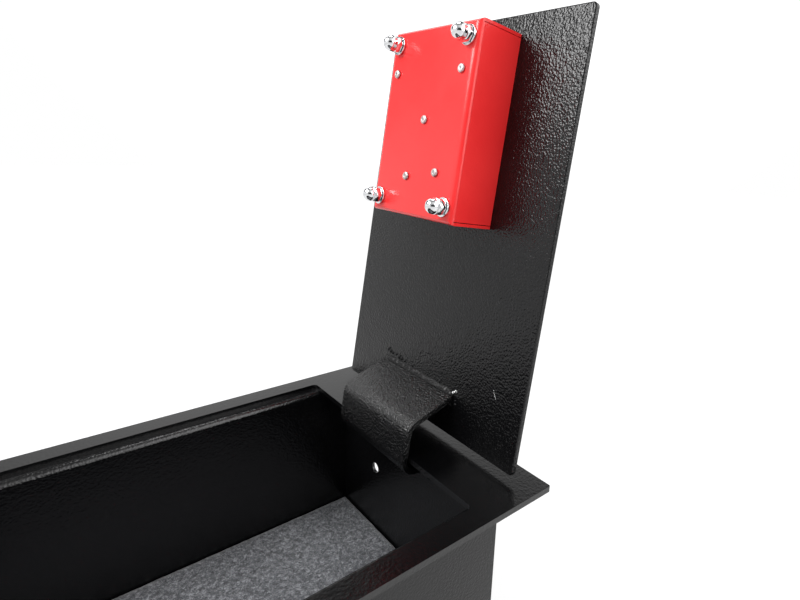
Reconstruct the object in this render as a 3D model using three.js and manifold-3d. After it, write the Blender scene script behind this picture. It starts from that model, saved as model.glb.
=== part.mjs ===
// Underfloor safe with its lid open. Millimetres, +Z up.
// The origin is the centre of the base's underside, +X points to the hinge end and +Y to the far long side.
// The lid, its lock and its hinge bracket are drawn closed, then turned open together about the hinge pin.

import * as THREE from 'three';
import { mergeVertices } from 'three/addons/utils/BufferGeometryUtils.js';
import Module from 'manifold-3d';

const wasm = await Module();
wasm.setup();

// Frame plate that lies on the floor round the mouth
const frameWidth = 290;
const framePlate = 5;
const sideStrip = 19;
const hingeStrip = 68;
const latchStrip = 35;
const frameCornerRadius = 1.5;
const mouthCornerRadius = 5;

// Folded sheet body under the frame
const bodyHeight = 153;
const bodySheet = 3;
const bodyBend = 3;
const sideOverhang = 25;
const hingeOverhang = 33;
const latchOverhang = 20;
const lipWidth = 10;
const anchorHoleDiameter = 11;
const anchorHoleAcross = 55;
const anchorHoleHeight = 76;

// Felt mat on the floor of the safe
const feltThickness = 3;
const feltGap = 1;

// Lid
const lidLength = 366;
const lidPlate = 5;
const lidGap = 1.25;
const lidHingeGap = 4;
const lidCornerRadius = 4;
const openAngle = 98.2;

// Hinge
const pinInset = 24.6;
const pinDrop = 19.5;
const pinDiameter = 8;
const pinClearance = 0.3;
const pinHeadDiameter = 13;
const pinHeadThickness = 2.5;
const pinEnd = 3.5;
const clipThickness = 1.2;
const clipDiameter = 13;
const clipGrooveDepth = 0.8;
const barrelWall = 2.2;
const bracketWidth = 106;
const bracketAcross = 8;
const bracketPlate = 5;
const bracketBend = 10;
const bracketStation = 37.5;
const bracketLean = 26;
const bracketWeldLeg = 5;
const lugThickness = 6;
const lugRadius = 9;
const lugSideGap = 0.5;

// Red lock case under the free end of the lid
const caseWidth = 112.5;
const caseLength = 160;
const caseDepth = 46;
const caseSheet = 2.5;
const caseBend = 2.5;
const caseFromFreeEnd = 16.5;
const caseSeam = 0.6;
const studDiameter = 8;
const studHoleClearance = 0.5;
const studInsetAlong = 13.2;
const studInsetAcross = 10.5;
const washerDiameter = 16;
const washerThickness = 1.6;
const nutAcrossFlats = 13;
const nutHexHeight = 6;
const nutHeight = 15;
const nutDomeDiameter = 12;
const nutBoreDepth = 10;

// Rivets whose heads show on the case
const rivetShank = 4;
const rivetHead = 7.2;
const rivetHeadEdge = 0.5;
const rivetHeadHeight = 1.8;

// Turning handle in its recessed cup
const spindleFromCaseEnd = 36.8;
const spindleAcross = -10;
const cupRimDiameter = 72;
const cupRimThickness = 1.5;
const cupDiameter = 63;
const cupWall = 1.5;
const cupDepth = 14.5;
const collarHeight = 5;
const collarWall = 3;
const hubDiameter = 22.4;
const hubFloor = 2;
const handleSink = 1;
const barLength = 50;
const barWidth = 12;
const barEndRadius = 3;
const handleTurn = 90;

// Key plug and the pawl that it throws
const plugDiameter = 12;
const plugLength = 8.3;
const pawlWidth = 6;
const pawlThickness = 2.6;
const pawlFloor = 0.9;
const pawlTravel = 3;
const tailPinDiameter = 2.4;
const keyThickness = 2;
const keyBladeWidth = 8;
const keyBladeDepth = 7;
const keyBowDiameter = 22;
const keyBowHole = 8;
const keyNeck = 6;

// Spindle, cam and bolt carriage inside the case
const spindleDiameter = 10;
const spindleSquare = 8;
const journalDiameter = 8;
const boltTravel = 26;
const camLevel = 14.5;
const camThickness = 4;
const camBossRadius = 11;
const camTipRadius = 7;
const crankPinDiameter = 6;
const crankPinEnd = 2;
const carriageLevel = 21;
const carriagePlate = 3.5;
const carriageHalfWidth = 38;
const carriageBehindSpindle = 24.3;
const boltDiameter = 12;
const boltLevel = 8;
const boltSpacing = 56;
const boltProud = 0.5;
const boltNeck = 8;
const boltTabWidth = 18;
const boltTabTop = 2;
const bearingPlate = 3;
const bearingPitch = 39;
const bearingWidth = 20;
const bearingTilt = 8.5;
const guideFromCaseEnd = 46;
const guideFlange = 12;
const guideWidth = 100;
const guideSheet = 3;
const guideRivetFromWeb = 8;
const guideRivetSpacing = 86;
const postFromSpindle = 45.4;
const postAcross = -5;
const postDiameter = 8;
const postNeck = 6;

// Clearances
const seat = 0.3;
const slide = 0.4;
const swingPass = 0.5;
const slotSlack = 0.9;

// Levels and stations of the body
const frameTop = bodyHeight;
const frameUnder = frameTop - framePlate;
const lidWidth = frameWidth - 2 * (sideStrip + lidGap);
const mouthLength = lidHingeGap + lidLength + lidGap;
const frameLength = hingeStrip + mouthLength + latchStrip;
const bodyLength = frameLength - hingeOverhang - latchOverhang;
const bodyWidth = frameWidth - 2 * sideOverhang;
const frameHingeX = bodyLength / 2 + hingeOverhang;
const frameLatchX = frameHingeX - frameLength;
const mouthHingeX = frameHingeX - hingeStrip;
const mouthLatchX = frameLatchX + latchStrip;
const wallHingeX = bodyLength / 2 - bodySheet;
const wallLatchX = -bodyLength / 2 + bodySheet;
const wallSideY = bodyWidth / 2 - bodySheet;

// Levels and stations of the closed lid
const lidTop = frameTop;
const lidUnder = lidTop - lidPlate;
const lidHingeX = mouthHingeX - lidHingeGap;
const pinX = mouthHingeX + pinInset;
const pinZ = frameTop - pinDrop;
const caseFar = lidLength - caseFromFreeEnd;
const caseNear = caseFar - caseLength;
const spindleX = lidHingeX - caseNear - spindleFromCaseEnd;
const guideWebX = lidHingeX - caseFar + guideFromCaseEnd;
const radius = (diameter) => diameter / 2;
const turn = (degrees) => degrees * Math.PI / 180;
const alongLid = (station) => lidHingeX - station;
const underLid = (depth) => lidUnder - depth;

// Colours and finishes
const finish = (color, roughness, metalness) => new THREE.MeshStandardMaterial({ color, roughness, metalness });
const blackCoat = finish(0x17181a, 0.38, 0.1);
const redCoat = finish(0xe0262b, 0.35, 0.05);
const feltGrey = finish(0x77797d, 0.95, 0);
const chrome = finish(0xd8dadd, 0.12, 1);
const zincSteel = finish(0xa9adb2, 0.35, 0.9);
const brass = finish(0xb99a52, 0.3, 0.9);

// A closed mesh as a solid, and back again

function toSolid(geometry) {
  const bare = geometry.clone();
  bare.deleteAttribute('normal');
  bare.deleteAttribute('uv');
  const merged = mergeVertices(bare, 1e-4);
  const vertProperties = new Float32Array(merged.attributes.position.array);
  const triVerts = new Uint32Array(merged.index.array);
  return new wasm.Manifold(new wasm.Mesh({ numProp: 3, vertProperties, triVerts }));
}

function toGeometry(solid) {
  const mesh = solid.getMesh();
  const geometry = new THREE.BufferGeometry();
  geometry.setAttribute('position', new THREE.BufferAttribute(mesh.vertProperties, 3));
  geometry.setIndex(new THREE.BufferAttribute(mesh.triVerts, 1));
  geometry.computeVertexNormals();
  return geometry;
}

function cut(geometry, ...tools) {
  return toGeometry(tools.reduce((solid, tool) => solid.subtract(toSolid(tool)), toSolid(geometry)));
}

function join(geometry, ...others) {
  return toGeometry(others.reduce((solid, other) => solid.add(toSolid(other)), toSolid(geometry)));
}

// Basic shapes, each between two levels or stations

function block(x0, x1, y0, y1, z0, z1) {
  const geometry = new THREE.BoxGeometry(x1 - x0, y1 - y0, z1 - z0);
  return geometry.translate((x0 + x1) / 2, (y0 + y1) / 2, (z0 + z1) / 2);
}

function prismZ(shape, z0, z1, curveSegments = 8) {
  const geometry = new THREE.ExtrudeGeometry(shape, { depth: z1 - z0, bevelEnabled: false, curveSegments });
  return geometry.translate(0, 0, z0);
}

// The outline is drawn in X and Z
function prismY(shape, y0, y1, curveSegments = 8) {
  return prismZ(shape, 0, y1 - y0, curveSegments).rotateX(Math.PI / 2).translate(0, y1, 0);
}

// The outline is drawn in Y and Z
function prismX(shape, x0, x1, curveSegments = 8) {
  const turned = new THREE.Matrix4().makeBasis(
    new THREE.Vector3(0, 1, 0),
    new THREE.Vector3(0, 0, 1),
    new THREE.Vector3(1, 0, 0),
  );
  return prismZ(shape, 0, x1 - x0, curveSegments).applyMatrix4(turned).translate(x0, 0, 0);
}

// A turned piece about Z, from pairs of radius and level, lowest first
function turned(profile, sides = 24) {
  const points = profile.map(([r, level]) => new THREE.Vector2(r, level));
  return new THREE.LatheGeometry(points, sides).rotateX(Math.PI / 2);
}

function rod(diameter, z0, z1, sides = 24) {
  return new THREE.CylinderGeometry(radius(diameter), radius(diameter), z1 - z0, sides)
    .rotateX(Math.PI / 2)
    .translate(0, 0, (z0 + z1) / 2);
}

function rodX(diameter, x0, x1, y, z) {
  return rod(diameter, x0, x1).rotateY(Math.PI / 2).translate(0, y, z);
}

function rodY(diameter, y0, y1, x, z) {
  return rod(diameter, -y1, -y0).rotateX(Math.PI / 2).translate(x, 0, z);
}

function roundedRectangle(x0, x1, y0, y1, r, Kind = THREE.Shape) {
  const outline = new Kind();
  outline.moveTo(x0 + r, y0);
  outline.lineTo(x1 - r, y0);
  outline.absarc(x1 - r, y0 + r, r, -Math.PI / 2, 0);
  outline.lineTo(x1, y1 - r);
  outline.absarc(x1 - r, y1 - r, r, 0, Math.PI / 2);
  outline.lineTo(x0 + r, y1);
  outline.absarc(x0 + r, y1 - r, r, Math.PI / 2, Math.PI);
  outline.lineTo(x0, y0 + r);
  outline.absarc(x0 + r, y0 + r, r, Math.PI, Math.PI * 1.5);
  outline.closePath();
  return outline;
}

// Section of a plate folded along the corners of its middle line, with one inside radius
function foldedSection(corners, thickness, insideRadius, bendSteps = 5) {
  const middle = corners.map(([a, b]) => new THREE.Vector2(a, b));
  const leftOf = (along) => new THREE.Vector2(-along.y, along.x);
  const middleRadius = insideRadius + thickness / 2;
  const stations = [];
  middle.forEach((corner, i) => {
    const into = i > 0 ? corner.clone().sub(middle[i - 1]).normalize() : null;
    const out = i < middle.length - 1 ? middle[i + 1].clone().sub(corner).normalize() : null;
    if (!into || !out) {
      stations.push({ at: corner, along: into ?? out });
      return;
    }
    const bend = Math.atan2(into.cross(out), into.dot(out));
    const side = Math.sign(bend) * middleRadius;
    const start = corner.clone().addScaledVector(into, -middleRadius * Math.tan(Math.abs(bend) / 2));
    const centre = start.clone().addScaledVector(leftOf(into), side);
    for (let step = 0; step <= bendSteps; step++) {
      const along = into.clone().rotateAround(new THREE.Vector2(), bend * step / bendSteps);
      stations.push({ at: centre.clone().addScaledVector(leftOf(along), -side), along });
    }
  });
  const edge = (offset) => stations.map(({ at, along }) => at.clone().addScaledVector(leftOf(along), offset));
  return new THREE.Shape([...edge(thickness / 2), ...edge(-thickness / 2).reverse()]);
}

function piece(name, geometry, material) {
  const mesh = new THREE.Mesh(geometry, material);
  mesh.name = name;
  return mesh;
}

// The hinge sits a little to the far side of the lid's middle
function acrossLid(mesh) {
  mesh.position.y += bracketAcross;
  return mesh;
}

// Body

function framePiece() {
  const halfWidth = frameWidth / 2;
  const outline = roundedRectangle(frameLatchX, frameHingeX, -halfWidth, halfWidth, frameCornerRadius);
  const mouthHalf = halfWidth - sideStrip;
  outline.holes.push(
    roundedRectangle(mouthLatchX, mouthHingeX, -mouthHalf, mouthHalf, mouthCornerRadius, THREE.Path),
  );
  return piece('frame_plate', prismZ(outline, frameUnder, frameTop), blackCoat);
}

// A wall stands on the base and its lip turns outwards under the frame
function wallSection(outerFace) {
  const middle = outerFace - bodySheet / 2;
  const lipLevel = frameUnder - bodySheet / 2;
  return foldedSection([[middle, bodySheet], [middle, lipLevel], [outerFace + lipWidth, lipLevel]], bodySheet, bodyBend);
}

function sideWall(name, side) {
  const wall = prismX(wallSection(bodyWidth / 2), -bodyLength / 2, bodyLength / 2);
  return piece(name, side > 0 ? wall : wall.rotateZ(Math.PI), blackCoat);
}

// Both end walls are the same pressed part, so each has its anchor hole off to one side
function endWall(name, side) {
  const wall = prismY(wallSection(bodyLength / 2), -wallSideY, wallSideY);
  const hole = rodX(
    anchorHoleDiameter,
    wallHingeX - bodySheet,
    wallHingeX + 2 * bodySheet,
    anchorHoleAcross,
    anchorHoleHeight,
  );
  const drilled = cut(wall, hole);
  return piece(name, side > 0 ? drilled : drilled.rotateZ(Math.PI), blackCoat);
}

function basePlate() {
  const plate = block(-bodyLength / 2, bodyLength / 2, -bodyWidth / 2, bodyWidth / 2, 0, bodySheet);
  return piece('base_plate', plate, blackCoat);
}

function feltMat() {
  const halfWidth = wallSideY - feltGap;
  const mat = block(wallLatchX + feltGap, wallHingeX - feltGap, -halfWidth, halfWidth, bodySheet, bodySheet + feltThickness);
  return piece('felt_mat', mat, feltGrey);
}

// The lugs hang from the frame beside the barrel and hold the pin
function hingeLug(name, side) {
  const inner = bracketWidth / 2 + lugSideGap;
  const outline = new THREE.Shape();
  outline.moveTo(wallHingeX, frameUnder);
  outline.lineTo(pinX - lugRadius, frameUnder);
  outline.lineTo(pinX - lugRadius, pinZ);
  outline.absarc(pinX, pinZ, lugRadius, Math.PI, Math.PI * 1.5);
  outline.lineTo(wallHingeX, pinZ - lugRadius);
  outline.closePath();
  const lug = prismY(outline, inner, inner + lugThickness);
  const bored = cut(lug, rodY(pinDiameter + 2 * pinClearance, inner - 1, inner + lugThickness + 1, pinX, pinZ));
  return acrossLid(piece(name, side > 0 ? bored : bored.translate(0, -2 * inner - lugThickness, 0), blackCoat));
}

// Turned pin, head at the far end, a groove for the clip at the near end
function hingePin() {
  const lugFace = bracketWidth / 2 + lugSideGap + lugThickness;
  const clipFace = -lugFace - seat - clipThickness;
  const shank = radius(pinDiameter);
  const groove = shank - clipGrooveDepth;
  const profile = [
    [0, clipFace - pinEnd],
    [shank, clipFace - pinEnd],
    [shank, clipFace - seat],
    [groove, clipFace - seat],
    [groove, -lugFace - seat / 2],
    [shank, -lugFace - seat / 2],
    [shank, lugFace + seat],
    [radius(pinHeadDiameter), lugFace + seat],
    [radius(pinHeadDiameter), lugFace + seat + pinHeadThickness],
    [0, lugFace + seat + pinHeadThickness],
  ];
  const mesh = piece('hinge_pin', turned(profile), zincSteel);
  mesh.rotation.x = -Math.PI / 2;
  mesh.position.set(pinX, 0, pinZ);
  return acrossLid(mesh);
}

function pinClip() {
  const lugFace = bracketWidth / 2 + lugSideGap + lugThickness;
  const inner = radius(pinDiameter) - clipGrooveDepth + seat;
  const mouth = turn(35);
  const outline = new THREE.Shape();
  outline.absarc(0, 0, radius(clipDiameter), -Math.PI / 2 + mouth, Math.PI * 1.5 - mouth);
  outline.absarc(0, 0, inner, Math.PI * 1.5 - mouth, -Math.PI / 2 + mouth, true);
  outline.closePath();
  const clip = prismY(outline, -lugFace - seat - clipThickness, -lugFace - seat, 20);
  const mesh = piece('hinge_pin_clip', clip, zincSteel);
  mesh.position.set(pinX, 0, pinZ);
  return acrossLid(mesh);
}

// Lid and hinge bracket, drawn closed

function lidPlatePiece() {
  const half = lidWidth / 2;
  const outline = roundedRectangle(alongLid(lidLength), lidHingeX, -half, half, lidCornerRadius);
  const plate = prismZ(outline, lidUnder, lidTop);
  const cupHole = rod(cupDiameter + 2 * seat, lidUnder - 1, lidTop + 1, 48);
  const rimSeat = rod(cupRimDiameter + 2 * seat, lidTop - cupRimThickness - seat, lidTop + 1, 48);
  cupHole.translate(spindleX, spindleAcross, 0);
  rimSeat.translate(spindleX, spindleAcross, 0);
  return piece('lid_plate', cut(plate, cupHole, rimSeat), blackCoat);
}

// The middle leg is set so that it meets the frame's edge just as the lid stands open
function middleLegLevel() {
  const edgeX = mouthHingeX - pinX;
  const edgeZ = frameTop - pinZ;
  const face = Math.sin(turn(openAngle)) * edgeX + Math.cos(turn(openAngle)) * edgeZ - seat;
  return pinZ + face - bracketPlate / 2;
}

function hingeBracket() {
  const lean = turn(bracketLean);
  const middleStation = bracketStation - bracketPlate / 2 / Math.cos(lean);
  const alongLean = (level) => alongLid(middleStation) + (lidUnder - level) * Math.tan(lean);
  const above = lidUnder + bracketPlate;
  const barrelRadius = radius(pinDiameter) + pinClearance + barrelWall;
  const section = foldedSection(
    [
      [alongLean(above), above],
      [alongLean(middleLegLevel()), middleLegLevel()],
      [pinX, middleLegLevel()],
      [pinX, pinZ],
    ],
    bracketPlate,
    bracketBend,
    6,
  );
  const half = bracketWidth / 2;
  const lidSpace = block(alongLid(lidLength), pinX, -half - 1, half + 1, lidUnder - seat, above + bracketPlate);
  const barrelSpace = rodY(2 * (barrelRadius + seat), -half - 1, half + 1, pinX, pinZ);
  const halfSpace = block(pinX - bracketPlate, pinX + bracketPlate, -half - 1, half + 1, pinZ - 1, pinZ + 1);
  const plate = cut(prismY(section, -half, half), lidSpace, barrelSpace, halfSpace);
  return acrossLid(piece('hinge_bracket', plate, blackCoat));
}

function hingeBarrel() {
  const half = bracketWidth / 2;
  const bore = pinDiameter + 2 * pinClearance;
  const tube = rodY(bore + 2 * barrelWall, -half, half, pinX, pinZ);
  return acrossLid(piece('hinge_barrel', cut(tube, rodY(bore, -half - 1, half + 1, pinX, pinZ)), blackCoat));
}

// Weld bead in the corner between the lid and a face of the leaning plate
function bracketWeld(name, side) {
  const lean = turn(bracketLean);
  const faceStation = side > 0 ? bracketStation : bracketStation - bracketPlate / Math.cos(lean);
  const x = alongLid(faceStation) - side * 2 * seat;
  const z = lidUnder - seat;
  const leg = bracketWeldLeg;
  const drop = leg * Math.cos(lean);
  const lowX = x + drop * Math.tan(lean);
  const outline = new THREE.Shape();
  outline.moveTo(x, z);
  outline.lineTo(x - side * leg, z);
  outline.quadraticCurveTo((x - side * leg + lowX) / 2, z - drop * 0.6, lowX, z - drop);
  outline.closePath();
  const bead = prismY(outline, -bracketWidth / 2, bracketWidth / 2, 4);
  return acrossLid(piece(name, bead, blackCoat));
}

// Lock case: a folded cover with two end flaps, held to the lid by four studs

const caseFace = underLid(caseDepth);
const caseInside = caseFace + caseSheet;
const caseTop = lidUnder - seat;
const caseFarX = alongLid(caseFar);
const caseNearX = alongLid(caseNear);

function caseStudPlaces() {
  const across = caseWidth / 2 - studInsetAcross;
  const places = [];
  for (const station of [caseNear + studInsetAlong, caseFar - studInsetAlong]) {
    for (const side of [-1, 1]) {
      places.push([alongLid(station), side * across]);
    }
  }
  return places;
}

function bearingRivetPlaces() {
  const reach = bearingPitch / 2;
  const places = [];
  for (const side of [-1, 1]) {
    places.push([
      spindleX + side * reach * Math.sin(turn(bearingTilt)),
      spindleAcross + side * reach * Math.cos(turn(bearingTilt)),
    ]);
  }
  return places;
}

function guideRivetPlaces() {
  const x = guideWebX - guideRivetFromWeb;
  return [[x, -guideRivetSpacing / 2], [x, guideRivetSpacing / 2]];
}

function postPlace() {
  return [spindleX - postFromSpindle, postAcross];
}

function lockCase() {
  const half = caseWidth / 2;
  const mid = half - caseSheet / 2;
  const faceMid = caseFace + caseSheet / 2;
  const corners = [[-mid, caseTop], [-mid, faceMid], [mid, faceMid], [mid, caseTop]];
  const trim = caseSheet + caseSeam;
  const cover = prismX(foldedSection(corners, caseSheet, caseBend), caseFarX + trim, caseNearX - trim);
  const flapReach = caseSheet + caseBend + trim;
  const flap = (endX, inward) => {
    const middle = endX + inward * caseSheet / 2;
    const path = [[middle, caseTop], [middle, faceMid], [endX + inward * flapReach, faceMid]];
    return prismY(foldedSection(path, caseSheet, caseBend), -half, half);
  };
  const outerBend = caseBend + caseSheet;
  const envelopeShape = roundedRectangle(-half, half, caseFace, caseTop + 2 * outerBend, outerBend);
  const envelope = toSolid(prismX(envelopeShape, caseFarX, caseNearX, 5));
  const folded = toSolid(join(cover, flap(caseFarX, 1), flap(caseNearX, -1)));
  const trimmed = toGeometry(folded.intersect(envelope));
  const face = [caseFace - 1, caseInside + 1];
  const through = (diameter, [x, y]) => rod(diameter, ...face).translate(x, y, 0);
  const rivets = [...bearingRivetPlaces(), ...guideRivetPlaces(), postPlace()];
  const boltHoles = [-1, 1].map((side) => rodX(
    boltDiameter + 2 * slide,
    caseFarX - 1,
    caseFarX + caseSheet + 1,
    side * boltSpacing / 2,
    underLid(boltLevel),
  ));
  const drilled = cut(
    trimmed,
    ...caseStudPlaces().map((place) => through(studDiameter + 2 * studHoleClearance, place)),
    ...rivets.map((place) => through(rivetShank + 2 * seat, place)),
    ...boltHoles,
  );
  return piece('lock_case', drilled, redCoat);
}

function caseStuds() {
  const top = lidUnder - seat;
  const end = caseFace - washerThickness - 2 * seat - nutBoreDepth + 1;
  return caseStudPlaces().map(([x, y], i) => {
    const mesh = piece(`case_stud_${i + 1}`, rod(studDiameter, end, top), zincSteel);
    mesh.position.set(x, y, 0);
    return mesh;
  });
}

function caseWashers() {
  const top = caseFace - seat;
  const ring = cut(
    rod(washerDiameter, top - washerThickness, top, 32),
    rod(studDiameter + 2 * seat, top - washerThickness - 1, top + 1),
  );
  return caseStudPlaces().map(([x, y], i) => {
    const mesh = piece(`case_washer_${i + 1}`, ring, chrome);
    mesh.position.set(x, y, 0);
    return mesh;
  });
}

// Hexagon below a dome, with a blind bore for the stud
function domeNuts() {
  const top = caseFace - washerThickness - 2 * seat;
  const hexCorner = radius(nutAcrossFlats) / Math.cos(Math.PI / 6);
  const hex = new THREE.CylinderGeometry(hexCorner, hexCorner, nutHexHeight, 6).rotateX(Math.PI / 2);
  hex.translate(0, 0, top - nutHexHeight / 2);
  const domeRadius = radius(nutDomeDiameter);
  const centre = top - nutHeight + domeRadius;
  const profile = [[0, centre - domeRadius]];
  const domeSteps = 6;
  for (let step = 1; step <= domeSteps; step++) {
    const angle = Math.PI / 2 * step / domeSteps;
    profile.push([domeRadius * Math.sin(angle), centre - domeRadius * Math.cos(angle)]);
  }
  profile.push([domeRadius, top - nutHexHeight / 2], [0, top - nutHexHeight / 2]);
  const bore = rod(studDiameter + 2 * seat, top - nutBoreDepth, top + 1);
  const nut = cut(join(hex, turned(profile)), bore);
  return caseStudPlaces().map(([x, y], i) => {
    const mesh = piece(`dome_nut_${i + 1}`, nut, chrome);
    mesh.position.set(x, y, 0);
    return mesh;
  });
}

// Rivet through the case face: a flat head outside, a shank, and what it holds inside
function rivetProfile(inside) {
  const underCase = caseFace - seat;
  const head = radius(rivetHead);
  const shank = radius(rivetShank);
  return [
    [0, underCase - rivetHeadHeight],
    [head - rivetHeadEdge, underCase - rivetHeadHeight],
    [head, underCase - rivetHeadHeight + rivetHeadEdge],
    [head, underCase],
    [shank, underCase],
    ...inside(shank),
  ];
}

function rivetPieces() {
  const plateTop = caseInside + seat + bearingPlate;
  const closedOver = (top) => (shank) => [
    [shank, top + seat],
    [radius(rivetHead), top + seat],
    [radius(rivetHead), top + seat + rivetHeadHeight],
    [0, top + seat + rivetHeadHeight],
  ];
  const bearingRivet = turned(rivetProfile(closedOver(plateTop)), 20);
  const guideRivet = turned(rivetProfile(closedOver(caseInside + seat + guideSheet)), 20);
  const pieces = [];
  bearingRivetPlaces().forEach(([x, y], i) => {
    const mesh = piece(`bearing_rivet_${i + 1}`, bearingRivet, zincSteel);
    mesh.position.set(x, y, 0);
    pieces.push(mesh);
  });
  guideRivetPlaces().forEach(([x, y], i) => {
    const mesh = piece(`guide_rivet_${i + 1}`, guideRivet, zincSteel);
    mesh.position.set(x, y, 0);
    pieces.push(mesh);
  });
  return pieces;
}

// Shouldered post that keeps the carriage on its level
function guidePost() {
  const body = radius(postDiameter);
  const neck = radius(postNeck);
  const carriageUnder = underLid(carriageLevel + carriagePlate);
  const carriageTop = underLid(carriageLevel);
  const profile = rivetProfile((shank) => [
    [shank, caseInside + seat],
    [body, caseInside + seat],
    [body, carriageUnder - slide],
    [neck, carriageUnder - slide],
    [neck, carriageTop + slide],
    [body, carriageTop + slide],
    [body, carriageTop + slide + rivetHeadHeight],
    [0, carriageTop + slide + rivetHeadHeight],
  ]);
  const [x, y] = postPlace();
  const mesh = piece('carriage_guide_post', turned(profile, 20), zincSteel);
  mesh.position.set(x, y, 0);
  return mesh;
}

function spindleBearing() {
  const half = bearingPitch / 2 + bearingWidth / 3;
  const halfWidth = bearingWidth / 2;
  const level = caseInside + seat;
  const plate = prismZ(roundedRectangle(-halfWidth, halfWidth, -half, half, 3), level, level + bearingPlate, 4);
  const hole = (diameter, y) => rod(diameter, level - 1, level + bearingPlate + 1).translate(0, y, 0);
  const bored = cut(
    plate,
    hole(journalDiameter + 2 * seat, 0),
    hole(rivetShank + 2 * seat, bearingPitch / 2),
    hole(rivetShank + 2 * seat, -bearingPitch / 2),
  );
  const mesh = piece('spindle_bearing', bored, zincSteel);
  mesh.rotation.z = -turn(bearingTilt);
  mesh.position.set(spindleX, spindleAcross, 0);
  return mesh;
}

// Angle plate across the case with a hole for each bolt
function boltGuide() {
  const path = [
    [guideWebX, underLid(1.5)],
    [guideWebX, caseInside + seat + guideSheet / 2],
    [guideWebX - guideFlange, caseInside + seat + guideSheet / 2],
  ];
  const section = foldedSection(path, guideSheet, guideSheet / 2, 3);
  const angle = prismY(section, -guideWidth / 2, guideWidth / 2);
  const boltHole = (side) => rodX(
    boltDiameter + 2 * slide,
    guideWebX - guideSheet,
    guideWebX + guideSheet,
    side * boltSpacing / 2,
    underLid(boltLevel),
  );
  const rivetHole = ([x, y]) => rod(rivetShank + 2 * seat, caseInside - 1, caseInside + 2 * guideSheet).translate(x, y, 0);
  const drilled = cut(angle, boltHole(-1), boltHole(1), ...guideRivetPlaces().map(rivetHole));
  return piece('bolt_guide', drilled, zincSteel);
}

// Recessed cup with a collar round the hub, notched where the pawl can lock
function handleCup() {
  const rimUnder = lidTop - cupRimThickness;
  const floor = lidTop - cupDepth;
  const outer = radius(cupDiameter);
  const inner = outer - cupWall;
  const collarIn = radius(hubDiameter) + seat + 0.3;
  const spindleHole = radius(spindleDiameter) + seat;
  const profile = [
    [spindleHole, floor - cupWall],
    [outer - 3, floor - cupWall],
    [outer, floor - cupWall + 3],
    [outer, rimUnder],
    [radius(cupRimDiameter), rimUnder],
    [radius(cupRimDiameter), lidTop],
    [inner, lidTop],
    [inner, floor + 2],
    [inner - 2, floor],
    [collarIn + collarWall, floor],
    [collarIn + collarWall, floor + collarHeight],
    [collarIn, floor + collarHeight],
    [collarIn, floor],
    [spindleHole, floor],
    [spindleHole, floor - cupWall],
  ];
  const shell = turned(profile, 48);
  const notch = radius(hubDiameter) + collarWall + 4;
  const halfNotch = pawlWidth / 2 + slide;
  const locks = [
    block(0, notch, -halfNotch, halfNotch, floor + seat, floor + collarHeight + 1),
    block(-halfNotch, halfNotch, 0, notch, floor + seat, floor + collarHeight + 1),
  ];
  const mesh = piece('handle_cup', cut(shell, ...locks), zincSteel);
  mesh.position.set(spindleX, spindleAcross, 0);
  return mesh;
}

// Handle, spindle, cam and crank pin turn together about the spindle's axis

const hubUnder = lidTop - cupDepth + seat;
const pawlUnder = hubUnder + hubFloor + seat;
const channelUnder = hubUnder + hubFloor;
const channelTop = pawlUnder + pawlThickness + seat;
const plugUnder = channelTop + 0.1;
const plugTop = plugUnder + plugLength;
const handleTop = lidTop - handleSink;
const startAngle = -handleTurn / 2;
const crankRadius = boltTravel / 2 / Math.sin(turn(handleTurn / 2));

function turnHandle() {
  const hub = rod(hubDiameter, hubUnder, handleTop, 40);
  const barShape = roundedRectangle(-barLength / 2, barLength / 2, -barWidth / 2, barWidth / 2, barEndRadius);
  const barUnder = lidTop - cupDepth + collarHeight + seat;
  const bar = prismZ(barShape, barUnder, handleTop, 5);
  const plugBore = rod(plugDiameter + 2 * seat, channelTop - 0.2, handleTop + 1);
  const halfChannel = pawlWidth / 2 + seat;
  const channel = block(-plugDiameter / 2, hubDiameter, -halfChannel, halfChannel, channelUnder, channelTop);
  return piece('turn_handle', cut(join(hub, bar), plugBore, channel), zincSteel);
}

function driveSpindle() {
  const top = lidTop - cupDepth;
  const cupUnder = lidTop - cupDepth - cupWall;
  const squareTop = cupUnder - 0.5;
  const squareUnder = underLid(camLevel + camThickness) - 0.5;
  const upper = rod(spindleDiameter, squareTop, top);
  const half = spindleSquare / 2;
  const square = block(-half, half, -half, half, squareUnder - 0.5, squareTop + 0.5);
  const lower = rod(journalDiameter, caseInside + seat, squareUnder);
  return piece('drive_spindle', join(upper, square, lower), zincSteel);
}

// Drawn with the crank towards +Y, then turned to where it starts
function driveCam() {
  const under = underLid(camLevel + camThickness);
  const top = underLid(camLevel);
  const outline = new THREE.Shape();
  const lean = Math.asin((camBossRadius - camTipRadius) / crankRadius);
  outline.absarc(0, 0, camBossRadius, Math.PI - lean, Math.PI * 2 + lean);
  outline.absarc(0, crankRadius, camTipRadius, lean, Math.PI - lean);
  outline.closePath();
  const half = spindleSquare / 2 + seat;
  const socket = block(-half, half, -half, half, under - 1, top + 1).rotateZ(-turn(startAngle));
  const pinHole = rod(crankPinDiameter + 2 * seat, under - 1, top + 1).translate(0, crankRadius, 0);
  const mesh = piece('drive_cam', cut(prismZ(outline, under, top, 10), socket, pinHole), zincSteel);
  mesh.rotation.z = turn(startAngle);
  return mesh;
}

function crankPin() {
  const top = underLid(camLevel);
  const under = underLid(carriageLevel + carriagePlate + crankPinEnd);
  const mesh = piece('crank_pin', rod(crankPinDiameter, under, top), zincSteel);
  const angle = turn(startAngle);
  mesh.position.set(-crankRadius * Math.sin(angle), crankRadius * Math.cos(angle), 0);
  return mesh;
}

// Key plug with an eccentric tail pin, the key in it, and the pawl that it moves outwards

const tailOffset = pawlTravel / 2 / Math.sin(turn(45));

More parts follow.
